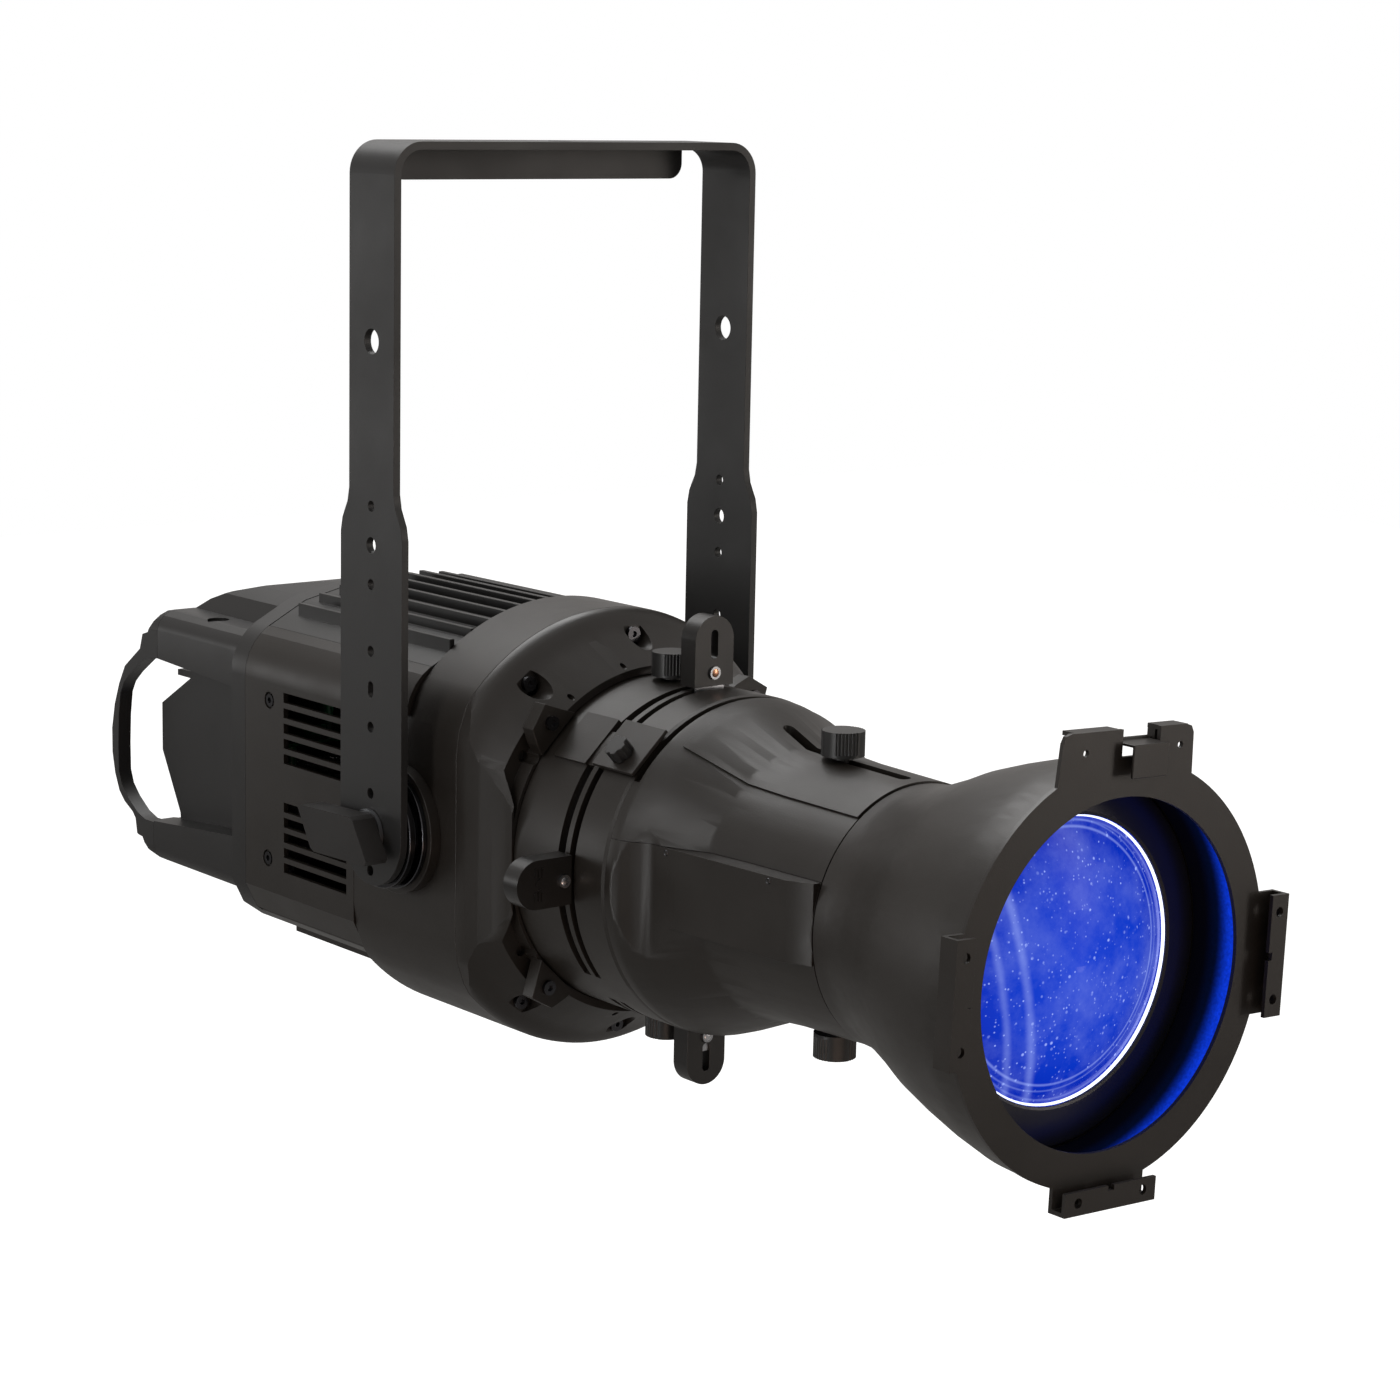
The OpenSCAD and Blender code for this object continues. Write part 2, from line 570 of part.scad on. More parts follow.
// A steel shutter blade with the rivet that holds its grip, standing out along +Z
module shutter(i, rivet_z = 92) difference() {
    union() {
        block([-37, shutter_y[i] - blade_t / 2, 12], [37, shutter_y[i] + blade_t / 2, 56]);
        block([-9, shutter_y[i] - blade_t / 2, 50], [9, shutter_y[i] + blade_t / 2, 99]);
        translate([0, 0, rivet_z]) rod_y(grip_y[0] - 0.8, grip_y[1], 2.2);
        translate([0, 0, rivet_z]) rod_y(grip_y[0] - 1.2, grip_y[0] - 0.1, 3.2);
    }
}
// A grip over the end of a blade: a slotted plate, or a ribbed one with a thumb rest
module grip(i, rivet_z = 92, tip = 120, slotted = true) difference() {
    union() {
        along_y(grip_y[0], grip_y[1]) difference() {
            union() {
                translate([-grip_w / 2, gate_r + 1.4]) square([grip_w, tip - gate_r - 1.4 - grip_w / 2]);
                translate([0, tip - grip_w / 2]) circle(grip_w / 2);
            }
            if (slotted) {
                translate([0, tip - 19]) circle(2.2);
                translate([0, tip - 9]) circle(2.2);
                translate([-2.2, tip - 19]) square([4.4, 10]);
            }
        }
        if (!slotted) {
            for (x = [-8, 3.6]) for (z = [0:2:4])
                block([x, grip_y[0] - 0.6, tip - 15.4 + z], [x + 4.4, grip_y[0] + 0.2, tip - 14.4 + z]);
            along_y(grip_y[0] - 0.6, grip_y[0] + 0.2) translate([0, tip - 14]) difference() {
                circle(3);
                circle(2.1);
                translate([-4, -4]) square([8, 4]);
            }
        }
    }
    block([-9.1, shutter_y[i] - blade_t / 2 - 0.05, 80], [9.1, shutter_y[i] + blade_t / 2 + 0.05, 99.1]);
    translate([0, 0, rivet_z]) rod_y(grip_y[0] - 2, grip_y[1] + 1, 2.25);
}
module shutter_top() color("#9a9ca0") shutter(2);
module shutter_bottom() color("#9a9ca0") rotate([0, 180, 0]) shutter(3, 91);
module shutter_left() color("#9a9ca0") rotate([0, -90, 0]) shutter(0, 90);
module shutter_right() color("#9a9ca0") rotate([0, 90, 0]) shutter(1, 90);
module shutter_grip_top() color("#29292b") grip(2);
module shutter_grip_bottom() color("#29292b") rotate([0, 180, 0]) grip(3, 91, 116);
module shutter_grip_left() color("#29292b") rotate([0, -90, 0]) grip(0, 90, 117.6, false);
module shutter_grip_right() color("#29292b") rotate([0, 90, 0]) grip(1, 90, 117.6, false);

// ---- Fixed barrel: two half shells, slotted for the focus knobs ----
barrel_profile = [[0, gate_end - 0.2], [83.5, gate_end - 0.2], [83.5, -157], [82.9, -160], [81.5, -164],
    [79, -171], [67.5, -199], [65.4, -204], [63.6, -229], [62.2, barrel_end], [0, barrel_end]];
// Half of the barrel seen from above: the round gate end narrows to flat sides
barrel_half = [[84, gate_end + 1], [84, -156], [83, -158.6], [80.8, -161.6], [77.6, -165], [74.4, -168.8],
    [72, -173], [71, -178], [71, -290]];
barrel_plan = concat(barrel_half, [for (i = [8:-1:0]) [-barrel_half[i][0], barrel_half[i][1]]]);
barrel_inside = [[0, barrel_end - 1], [bore_r, barrel_end - 1], [bore_r, -204], [74, -170],
    [74, -150], [0, -150]];
module barrel() difference() {
    union() {
        intersection() {
            turned(barrel_profile);
            translate([0, 0, -100]) linear_extrude(200) polygon(barrel_plan);
        }
        intersection() {
            turned([for (p = barrel_profile) [p[0] + (p[0] > 0 ? 1.2 : 0), p[1]]]);
            along_y(barrel_end, -166) polygon([[0, 0], [-60, 84], [60, 84]]);
        }
        both_sides() translate([0, 0, -14]) linear_extrude(seam_z + 14)
            polygon([[-58, -160], [-69, -160], [-71.4, -176], [-67.5, -264.3], [-61.8, -277.8],
                [-58, -277.8]]);
    }
    intersection() {
        turned(barrel_inside);
        along_y(-290, -149) square([2 * (71 - 2.6), 200], center = true);
    }
    difference() {
        rod_y(-157.6, gate_end, 90);
        rod_y(-158, gate_end + 1, 79);
        block([-100, -160, -100], [100, -150, 50]);
    }
    for (z = [-80, 40]) for (y = slot_ends) translate([0, y, 0]) rod_z(z, z + 40, 3.4);
    for (z = [-80, 40]) block([-3.4, slot_ends[0], z], [3.4, slot_ends[1], z + 40]);
}
module barrel_upper() color("#29292b") intersection() {
    barrel();
    block([-100, -300, seam_z + 0.1], [100, -140, 100]);
}
module barrel_lower() color("#29292b") intersection() {
    barrel();
    block([-100, -300, -100], [100, -140, seam_z - 0.1]);
}

// ---- Lens tube: slides along the optical axis ----
module lens_tube() color("#28282a") difference() {
    turned([
        [tube_r, -176], [tube_r, hood_y], [62.6, hood_y], [63.4, -290], [67, -303], [73, -319],
        [79, -333], [84.5, -350], [89.5, -368], [93.4, -386], [94.6, plate_y + 2], [92, plate_y + 2],
        [90.6, -386], [86.8, -368], [81.8, -350], [76.3, -333], [70.4, -319], [64.6, -303],
        [60.4, -292], [55.3, -286], [55.3, -176]]);
    for (s = [0, 180]) rotate([0, s, 0]) translate([0, focus_y, 0]) rod_z(50, 62, 3.05);
}
module front_lens() color("#3458e0") turned([
    [0, -385], [25, -383], [46, -378.5], [60, -373.5], [67, -370], [67, -366.5], [0, -366.5]]);
module lens_ring() color("#141416") turned([
    [65, -374], [66.6, -374.6], [72, -374.6], [84.8, -371.5], [86, -370.2], [85.8, -366],
    [67.3, -366], [67.3, -371.5]]);
module rear_lens() color("#c8d4ea") turned([
    [0, -196], [20, -197.5], [38, -201], [55.2, -207], [55.2, -211], [0, -211]]);
module tab_outline() difference() {
    polygon([[-43, 70], [-40, 104], [-38.5, 107], [-35, 108], [35, 108], [38.5, 107], [40, 104], [41, 70]]);
    translate([-4, 96]) square([23, 20]);
}
module channel() {
    block([lip_out - 2, lip_front, -28], [lip_out, plate_y + 2, 28]);
    block([lip_out - lip_w, lip_front, -28], [lip_out, lip_front + 2, 28]);
    block([88, plate_y, -28], [lip_out, plate_y + 2, 28]);
}
module channel_slots() {
    for (z = [-20, 20]) translate([lip_out - 5.6, 0, z]) rod_y(lip_front - 1, lip_front + 3, 2.3);
    block([lip_out - lip_w - 1, lip_front - 1, -1.8], [lip_out - lip_w + 2.2, lip_front + 3, 1.8]);
}
module accessory_plate() color("#2c2a29") rotate([0, holder_turn, 0]) difference() {
    union() {
        along_y(plate_y, plate_y + 2) circle(plate_r, $fn = 128);
        along_y(plate_y, plate_y + 2) tab_outline();
        block([-32, plate_y, 106], [-5, plate_y + 9, 108]);
        block([20, plate_y, 106], [36, plate_y + 9, 108]);
        for (x = [-9, 20.2]) block([x, plate_y + 4.5, 98.5], [x + 4, plate_y + 9, 106.1]);
        for (a = [0, 90, 180]) rotate([0, a, 0]) channel();
    }
    rod_y(plate_y - 1, plate_y + 3, aperture_r);
    for (a = [0, 90, 180]) rotate([0, a, 0]) channel_slots();
    for (x = [-26, 32]) translate([x, 0, 99]) rod_y(plate_y - 1, plate_y + 3, 1.6);
    translate([0, plate_y + 7, 101.4]) rod_x(-10, 25, 1.05);
}
module retaining_clip() color("#232223") rotate([0, holder_turn, 0]) {
    block([-3.2, plate_y - 6.2, 87.5], [18.2, plate_y - 5, 102]);
    block([-3.2, plate_y - 6.2, 100.8], [18.2, plate_y + 8, 102]);
    translate([0, plate_y + 7, 101.4]) {
        rod_x(-3.2, 18.2, 1.8);
        rod_x(-8.8, 23.8, 1);
    }
}
module focus_knob_top() color("#343436") thumb_knob(65.6, focus_y);
module focus_knob_bottom() color("#343436") rotate([0, 180, 0]) thumb_knob(65, focus_y);

// Everything is drawn about the optical axis, then lowered below the clamp hole
module hung() translate([0, 0, -yoke_top]) children();

hung() yoke_frame();
hung() front_shell();
hung() drum_housing();
hung() side_cover_left();
hung() side_cover_right();
hung() cooling_fins();
hung() bottom_tray();
hung() base_plate();
hung() rear_cap();
hung() grab_handle_left();
hung() grab_handle_right();
hung() control_panel();
hung() display_window();
hung() button_menu();
hung() button_up();
hung() button_down();
hung() button_enter();
hung() power_inlet();
hung() power_outlet();
hung() data_inlet();
hung() data_outlet();
hung() fan_parts();  // fan_frame
hung() fan_rotor();
hung() power_supply();
hung() control_board();
hung() led_module();
hung() condenser_lens();
hung() light_cone();
hung() pivot_blocks();
hung() friction_discs();
hung() barrel_clamps();
hung() housing_screws();
hung() tilt_lever_left();
hung() tilt_lever_right();
hung() pivot_bolt_left();
hung() pivot_bolt_right();
hung() gate_barrel();
hung() gate_plates();
hung() slot_cover();
hung() slot_cover_knob();
hung() gate_knob_top();
hung() gate_knob_bottom();
hung() shutter_top();
hung() shutter_bottom();
hung() shutter_left();
hung() shutter_right();
hung() shutter_grip_top();
hung() shutter_grip_bottom();
hung() shutter_grip_left();
hung() shutter_grip_right();
hung() barrel_upper();
hung() barrel_lower();
hung() lens_tube();
hung() front_lens();
hung() rear_lens();
hung() lens_ring();
hung() accessory_plate();
hung() retaining_clip();
hung() focus_knob_top();
hung() focus_knob_bottom();
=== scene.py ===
# %% [markdown]
# # A stage profile spotlight
# The lamp hangs in a bent steel yoke. The light leaves towards -Y, X runs across the lamp, Z is up, and
# the zero point is the clamp hole in the yoke's top bar. Every size below is in metres.

# %% Load the parts
import bpy
import bmesh
import json
import math
from mathutils import Matrix, Vector


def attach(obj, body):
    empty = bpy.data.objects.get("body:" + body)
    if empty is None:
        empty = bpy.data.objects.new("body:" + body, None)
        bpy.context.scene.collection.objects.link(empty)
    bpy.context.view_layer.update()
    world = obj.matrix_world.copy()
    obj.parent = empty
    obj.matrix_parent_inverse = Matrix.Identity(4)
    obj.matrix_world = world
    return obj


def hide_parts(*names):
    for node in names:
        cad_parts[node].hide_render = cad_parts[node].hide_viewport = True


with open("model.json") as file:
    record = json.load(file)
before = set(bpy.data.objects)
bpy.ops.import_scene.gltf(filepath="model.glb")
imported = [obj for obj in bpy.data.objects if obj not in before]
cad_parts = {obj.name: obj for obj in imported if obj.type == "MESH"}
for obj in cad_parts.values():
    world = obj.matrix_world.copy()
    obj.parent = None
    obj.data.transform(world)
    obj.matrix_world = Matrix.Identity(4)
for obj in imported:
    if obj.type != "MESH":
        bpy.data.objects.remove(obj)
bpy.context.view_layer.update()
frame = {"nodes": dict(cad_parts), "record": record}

# %% [markdown]
# ## Names from the record
# Each CAD node belongs to one moving body and takes its finish from one material slot. Both are looked up
# here so that a finished piece can be hung on the same body as the part it stands for.

# %% Look up slots and bodies
record = frame["record"]
SLOT_OF = {s["node"]: s["material_slot"] for s in record["subparts"]}
BODY_OF = {n: body for body, nodes in record["behaviour"]["bodies"].items() for n in nodes}
AXIS_Z = -0.344                 # height of the optical axis
print(len(set(BODY_OF.values())), "bodies,", len(set(SLOT_OF.values())), "material slots")

# %% [markdown]
# ## Colours
# A hex colour is written the way a screen shows it. The renderer works with amounts of light, so one
# function turns every hex value to linear.

# %% Turn a hex colour to linear
def rgb(hex_text):
    """A colour such as '2b2826' as linear RGBA."""
    out = []
    for i in (0, 2, 4):
        c = int(hex_text[i:i + 2], 16) / 255
        out.append(c / 12.92 if c <= 0.04045 else ((c + 0.055) / 1.055) ** 2.4)
    return (*out, 1.0)


print("mid grey 808080 is", round(rgb("808080")[0], 3), "in linear light")

# %% [markdown]
# ## Materials
# One helper starts a material, and one adds a node to it and wires it up.

# %% Two helpers for materials
def add(mat, kind, links=None, **values):
    """Adds a node. links maps an input name or number to an output socket; values set the rest."""
    node = mat.node_tree.nodes.new(kind)
    for key, value in values.items():
        if hasattr(node, key):
            setattr(node, key, value)
        else:
            node.inputs[key.replace("_", " ")].default_value = value
    for key, socket in (links or {}).items():
        mat.node_tree.links.new(socket, node.inputs[key])
    return node


def new_material(name, colour, roughness, metallic=0.0, coat=0.0, coat_roughness=0.2, specular=0.5):
    mat = bpy.data.materials.new(name)
    mat.use_nodes = True
    bsdf = mat.node_tree.nodes["Principled BSDF"]
    bsdf.inputs["Base Color"].default_value = rgb(colour)
    bsdf.inputs["Roughness"].default_value = roughness
    bsdf.inputs["Metallic"].default_value = metallic
    bsdf.inputs["Coat Weight"].default_value = coat
    bsdf.inputs["Coat Roughness"].default_value = coat_roughness
    bsdf.inputs["Specular IOR Level"].default_value = specular
    mat.diffuse_color = rgb(colour)
    return mat, bsdf


# %% [markdown]
# ## Grain
# Paint and moulded plastic have a fine grain, and their gloss shifts slowly over the surface. Both come from
# noise on Object coordinates, so the grain keeps its size on every part. It is drawn coarser than the real
# grain so that it shows.

# %% Grain and slow patches
def surface(mat, bsdf, colour, pale, grain_mm, height, low, high, stretch=(1, 1, 1)):
    """Grain of a size in millimetres, with slow patches that shift the colour and the gloss."""
    place = add(mat, "ShaderNodeTexCoord")
    turn = add(mat, "ShaderNodeMapping", {"Vector": place.outputs["Object"]})
    turn.inputs["Scale"].default_value = stretch
    fine = add(mat, "ShaderNodeTexNoise", {"Vector": turn.outputs["Vector"]}, Scale=1000 / grain_mm,
               Detail=3.0)
    bump = add(mat, "ShaderNodeBump", {"Height": fine.outputs["Fac"]}, Strength=1.0, Distance=height)
    mat.node_tree.links.new(bump.outputs["Normal"], bsdf.inputs["Normal"])
    slow = add(mat, "ShaderNodeTexNoise", {"Vector": turn.outputs["Vector"]}, Scale=16.0, Detail=5.0,
               Roughness=0.6)
    gloss = add(mat, "ShaderNodeMapRange", {"Value": slow.outputs["Fac"]}, From_Min=0.3, From_Max=0.7,
                To_Min=low, To_Max=high)
    mat.node_tree.links.new(gloss.outputs["Result"], bsdf.inputs["Roughness"])
    tint = add(mat, "ShaderNodeMix", {"Factor": slow.outputs["Fac"]}, data_type="RGBA")
    tint.inputs[6].default_value = rgb(colour)
    tint.inputs[7].default_value = rgb(pale)
    mat.node_tree.links.new(tint.outputs[2], bsdf.inputs["Base Color"])


# %% [markdown]
# ## Three finishes
# Powder coat is baked polyester with a faint orange peel. Moulded plastic takes the fine texture of its
# mould. Plated steel is bare metal, so its colour is in its reflections. low and high are roughness.

# %% Powder coat, moulding and plating
def powder(name, colour, pale, low, high, grain_mm=0.9, height=0.00003):
    mat, bsdf = new_material(name, colour, (low + high) / 2, specular=0.42)
    surface(mat, bsdf, colour, pale, grain_mm, height, low, high)
    return mat


def moulded(name, colour, pale, low, high, grain_mm=0.5):
    mat, bsdf = new_material(name, colour, (low + high) / 2, specular=0.45)
    surface(mat, bsdf, colour, pale, grain_mm, 0.000015, low, high)
    return mat


def plated(name, colour, pale, roughness, stretch=(1, 1, 1)):
    mat, bsdf = new_material(name, colour, roughness, metallic=1.0)
    surface(mat, bsdf, colour, pale, 1.1, 0.000004, roughness * 0.75, roughness * 1.3, stretch)
    return mat


# %% [markdown]
# ## The lamp's finishes
# Each entry is named for the material slot that it fills, or for the small fitting that it is made for.

# %% Make the finishes
MATS = {
    "yoke_paint": powder("yoke_powder_coat_on_steel", "181818", "222222", 0.40, 0.50),
    "shell_paint": powder("shell_powder_coat_on_cast_aluminium", "16130f", "201c19", 0.34, 0.46),
    "sheet_paint": powder("holder_powder_coat_on_sheet_steel", "171411", "221e1b", 0.34, 0.44),
    "fin_metal": powder("black_anodised_fins", "0e0e0e", "161616", 0.34, 0.44, 0.6, 0.00001),
    "cap_plastic": moulded("rear_cap_fine_grain_moulding", "111111", "1b1a1a", 0.36, 0.48),
    "grip_plastic": moulded("grip_satin_moulding", "121110", "1c1a19", 0.30, 0.40),
    "knob_plastic": moulded("knob_ribbed_moulding", "161616", "222222", 0.34, 0.44),
    "button_rubber": moulded("button_soft_rubber", "2b2b2d", "353538", 0.60, 0.72),
    "screen_glass": new_material("display_cover_acrylic", "0b1420", 0.08, coat=1.0, coat_roughness=0.03)[0],
    "socket_blue": moulded("mains_inlet_blue_nylon", "1a469c", "2455b8", 0.35, 0.45),
    "socket_grey": moulded("mains_outlet_grey_nylon", "85888c", "94979b", 0.35, 0.45),
    "socket_metal": plated("data_socket_nickel", "b4b4b6", "c4c4c6", 0.25),
    "bare_metal": plated("bare_aluminium_sheet", "c0c1c3", "cecfd1", 0.35, (1, 8, 1)),
    "circuit_green": moulded("circuit_board_solder_mask", "10452a", "185a38", 0.25, 0.35),
    "led_copper": plated("copper_core_board", "b87f50", "c89468", 0.32),
    "disc_steel": plated("zinc_plated_steel", "8f9296", "a6a8ac", 0.28),
    "dark_steel": plated("blackened_friction_steel", "3c3c3e", "5a5a5e", 0.18),
    "blade_steel": plated("shutter_blade_stainless", "9a9ca0", "b0b2b6", 0.30, (1, 1, 6)),
    "screw": plated("black_zinc_screw", "38383a", "5a5a5e", 0.20),
    "rivet": plated("bright_rivet_steel", "c4c4c8", "d6d6da", 0.24),
    "copper_rivet": plated("copper_rivet", "cf9070", "dda888", 0.26),
}
print(len(MATS), "finishes")

# %% [markdown]
# ## The lit lens
# The lens is clear glass with the lamp's deep blue light filling it. It is drawn as a glow: an even blue
# body with faint clouds, the rings and streaks that the optics throw on the glass, and pale specks of dust.

# %% Helpers for round patterns
def about_axis(mat, place):
    """X and height measured from the optical axis, for patterns that are round about it."""
    apart = add(mat, "ShaderNodeSeparateXYZ", {"Vector": place.outputs["Object"]})
    rise = add(mat, "ShaderNodeMath", {0: apart.outputs["Z"]}, operation="SUBTRACT")
    rise.inputs[1].default_value = AXIS_Z
    return apart, add(mat, "ShaderNodeCombineXYZ", {"X": apart.outputs["X"], "Y": rise.outputs["Value"]})


def band(mat, value, middle, width, strength):
    """A soft line where a value passes its middle, as strong as strength."""
    off = add(mat, "ShaderNodeMath", {0: value}, operation="SUBTRACT")
    off.inputs[1].default_value = middle
    size = add(mat, "ShaderNodeMath", {0: off.outputs["Value"]}, operation="ABSOLUTE")
    return add(mat, "ShaderNodeMapRange", {"Value": size.outputs["Value"]}, interpolation_type="SMOOTHSTEP",
               From_Min=0.0, From_Max=width, To_Min=strength, To_Max=0.0).outputs["Result"]


def total(mat, values):
    """The sum of several values."""
    out = values[0]
    for value in values[1:]:
        out = add(mat, "ShaderNodeMath", {0: out, 1: value}, operation="ADD").outputs["Value"]
    return out


def dust_layer(mat, flat, scale, radius, share):
    """Round specks in a share of the cells of a Voronoi pattern."""
    cells = add(mat, "ShaderNodeTexVoronoi", {"Vector": flat.outputs["Vector"]}, Scale=scale)
    dot = add(mat, "ShaderNodeMapRange", {"Value": cells.outputs["Distance"]}, From_Min=radius * 0.5,
              From_Max=radius, To_Min=1.0, To_Max=0.0)
    chance = add(mat, "ShaderNodeSeparateColor", {"Color": cells.outputs["Color"]})
    some = add(mat, "ShaderNodeMath", {0: chance.outputs["Red"]}, operation="GREATER_THAN")
    some.inputs[1].default_value = 1 - share
    both = add(mat, "ShaderNodeMath", {0: dot.outputs["Result"], 1: some.outputs["Value"]},
               operation="MULTIPLY")
    return add(mat, "ShaderNodeMath", {0: both.outputs["Value"], 1: chance.outputs["Green"]},
               operation="MULTIPLY").outputs["Value"]


# %% [markdown]
# The colour falls from a lighter centre to a deeper rim. The marks are added up and mix in a pale blue.

# %% Lens glass
def lens_material():
    """Glass filled with blue light, with faint rings, streaks and dust."""
    mat, bsdf = new_material("lens_glass_lit_blue", "020414", 0.25, specular=0.1)
    place = add(mat, "ShaderNodeTexCoord")
    apart, flat = about_axis(mat, place)
    away = add(mat, "ShaderNodeVectorMath", {0: flat.outputs["Vector"]}, operation="LENGTH").outputs["Value"]
    shifted = add(mat, "ShaderNodeVectorMath", {0: flat.outputs["Vector"]}, operation="ADD")
    shifted.inputs[1].default_value = (0.004, -0.003, 0)
    near_rim = add(mat, "ShaderNodeVectorMath", {0: shifted.outputs["Vector"]},
                   operation="LENGTH").outputs["Value"]
    tilt = add(mat, "ShaderNodeMapping", {"Vector": flat.outputs["Vector"]})
    tilt.inputs["Rotation"].default_value = (0, 0, math.radians(-12))
    across = add(mat, "ShaderNodeSeparateXYZ", {"Vector": tilt.outputs["Vector"]})
    body = add(mat, "ShaderNodeValToRGB", {"Fac": add(mat, "ShaderNodeMapRange", {"Value": away},
               From_Min=0.0, From_Max=0.067).outputs["Result"]})
    body.color_ramp.elements[0].color = rgb("1640d2")
    body.color_ramp.elements[1].color = rgb("0424b0")
    body.color_ramp.elements.new(0.6).color = rgb("0a38c8")
    cloud = add(mat, "ShaderNodeTexNoise", {"Vector": flat.outputs["Vector"]}, Scale=28.0, Detail=6.0,
                Roughness=0.65)
    haze = add(mat, "ShaderNodeMapRange", {"Value": cloud.outputs["Fac"]}, From_Min=0.42, From_Max=0.80,
               To_Min=0.0, To_Max=0.30)
    marks = total(mat, [
        haze.outputs["Result"],
        band(mat, near_rim, 0.0575, 0.0010, 0.42), band(mat, near_rim, 0.0605, 0.0007, 0.26),
        band(mat, away, 0.0625, 0.0008, 0.22),
        band(mat, across.outputs["X"], -0.030, 0.0035, 0.30),
        band(mat, across.outputs["X"], -0.042, 0.0030, 0.24),
        dust_layer(mat, flat, 330.0, 0.30, 0.16), dust_layer(mat, flat, 620.0, 0.34, 0.22),
        dust_layer(mat, flat, 180.0, 0.16, 0.10)])
    mix = add(mat, "ShaderNodeMix", {"Factor": marks}, data_type="RGBA")
    mat.node_tree.links.new(body.outputs["Color"], mix.inputs[6])
    mix.inputs[7].default_value = rgb("9cb0ff")
    mat.node_tree.links.new(mix.outputs[2], bsdf.inputs["Emission Color"])
    bsdf.inputs["Emission Strength"].default_value = 1.0
    return mat


# %% [markdown]
# The inner lenses are plain glass. On the hood's inner paint and on the lens's edge the lamp's light is
# painted on as a glow.

# %% Clear glass, painted light on the hood wall and on the lens edge
def clear_glass():
    """Polished crown glass for the lenses that stay inside the lamp."""
    mat, bsdf = new_material("polished_crown_glass", "f4f8ff", 0.03)
    bsdf.inputs["Transmission Weight"].default_value = 1.0
    bsdf.inputs["IOR"].default_value = 1.52
    return mat


def lit_wall_material():
    """Black paint inside the hood with the lamp's blue light painted on: painted shade by the lens, painted
    light towards the rim.
    """
    mat, bsdf = new_material("hood_inner_paint_painted_blue_light", "04050c", 0.5, specular=0.1)
    place = add(mat, "ShaderNodeTexCoord")
    apart, flat = about_axis(mat, place)
    along = add(mat, "ShaderNodeMapRange", {"Value": apart.outputs["Y"]}, From_Min=-0.3765, From_Max=-0.3915)
    ramp = add(mat, "ShaderNodeValToRGB", {"Fac": along.outputs["Result"]})
    ramp.color_ramp.interpolation = "EASE"
    ramp.color_ramp.elements[0].color = rgb("000002")
    ramp.color_ramp.elements[1].color = rgb("0a36cf")
    ramp.color_ramp.elements.new(0.4).color = rgb("00061e")
    speckle = add(mat, "ShaderNodeTexNoise", {"Vector": place.outputs["Object"]}, Scale=700.0, Detail=4.0)
    power = add(mat, "ShaderNodeMapRange", {"Value": speckle.outputs["Fac"]}, From_Min=0.3, From_Max=0.7,
                To_Min=0.75, To_Max=1.25)
    mat.node_tree.links.new(ramp.outputs["Color"], bsdf.inputs["Emission Color"])
    mat.node_tree.links.new(power.outputs["Result"], bsdf.inputs["Emission Strength"])
    return mat


def glowing(name, colour, light, strength):
    """A surface that shines evenly."""
    mat, bsdf = new_material(name, colour, 0.3)
    bsdf.inputs["Emission Color"].default_value = rgb(light)
    bsdf.inputs["Emission Strength"].default_value = strength
    return mat


# %% [markdown]
# ## Give every part its finish
# A part takes the finish of its slot. The two inner lenses share a slot with the lit front lens, so they
# are given the clear glass here.

# %% Assign the finishes
MATS["lens_glass"] = lens_material()
MATS["clear_glass"] = clear_glass()
# painted light: the hood's inner wall glows blue where the lamp's light would fall on it
MATS["lit_wall"] = lit_wall_material()
# painted light: the lens edge is drawn as an even white glow
MATS["lens_edge"] = glowing("lens_edge_painted_white_glow", "dfe6ff", "d4deff", 1.7)

for name, obj in frame["nodes"].items():
    obj.data.materials.clear()
    inner_glass = name in ("rear_lens", "condenser_lens")
    obj.data.materials.append(MATS["clear_glass" if inner_glass else SLOT_OF[name]])
print(len(frame["nodes"]), "parts have a finish")

# %% [markdown]
# ## Finishing the CAD parts
# Real castings, pressings and mouldings have no razor edges. Each part is copied, its flat faces are joined
# up again, and its edges are rounded a little so that they catch the light.

# %% Hang a piece and make its object
def keep(obj, body, slot_name, *nodes):
    """Hangs a finished piece on its body and, where it stands for CAD nodes, hides those."""
    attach(obj, body)
    if nodes:
        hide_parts(*nodes)
    return obj


def add_object(name, bm, mat, smooth=35):
    """An object from a bmesh, smooth but for edges sharper than smooth degrees."""
    mesh = bpy.data.meshes.new(name)
    bmesh.ops.recalc_face_normals(bm, faces=bm.faces)
    bm.to_mesh(mesh)
    bm.free()
    mesh.polygons.foreach_set("use_smooth", [True] * len(mesh.polygons))
    mesh.set_sharp_from_angle(angle=math.radians(smooth))
    obj = bpy.data.objects.new(name, mesh)
    bpy.context.scene.collection.objects.link(obj)
    mesh.materials.append(mat)
    return obj


# %% [markdown]
# A Bevel modifier rounds the edges, and Weighted Normal keeps the large flat faces from looking bent.

# %% Round the edges
def round_edges(obj, width, segments=2, angle=32):
    """Rounds edges sharper than angle degrees by width metres."""
    bevel = obj.modifiers.new("edge_round", "BEVEL")
    bevel.width = width
    bevel.segments = segments
    bevel.limit_method = "ANGLE"
    bevel.angle_limit = math.radians(angle)
    bevel.use_clamp_overlap = True
    even = obj.modifiers.new("flat_faces_stay_flat", "WEIGHTED_NORMAL")
    even.keep_sharp = True


MERGE_DISTANCE = 0.00002        # closes the gaps between a CAD part's loose triangles
FLAT_ANGLE = math.radians(1.0)  # triangles that meet flatter than this become one face


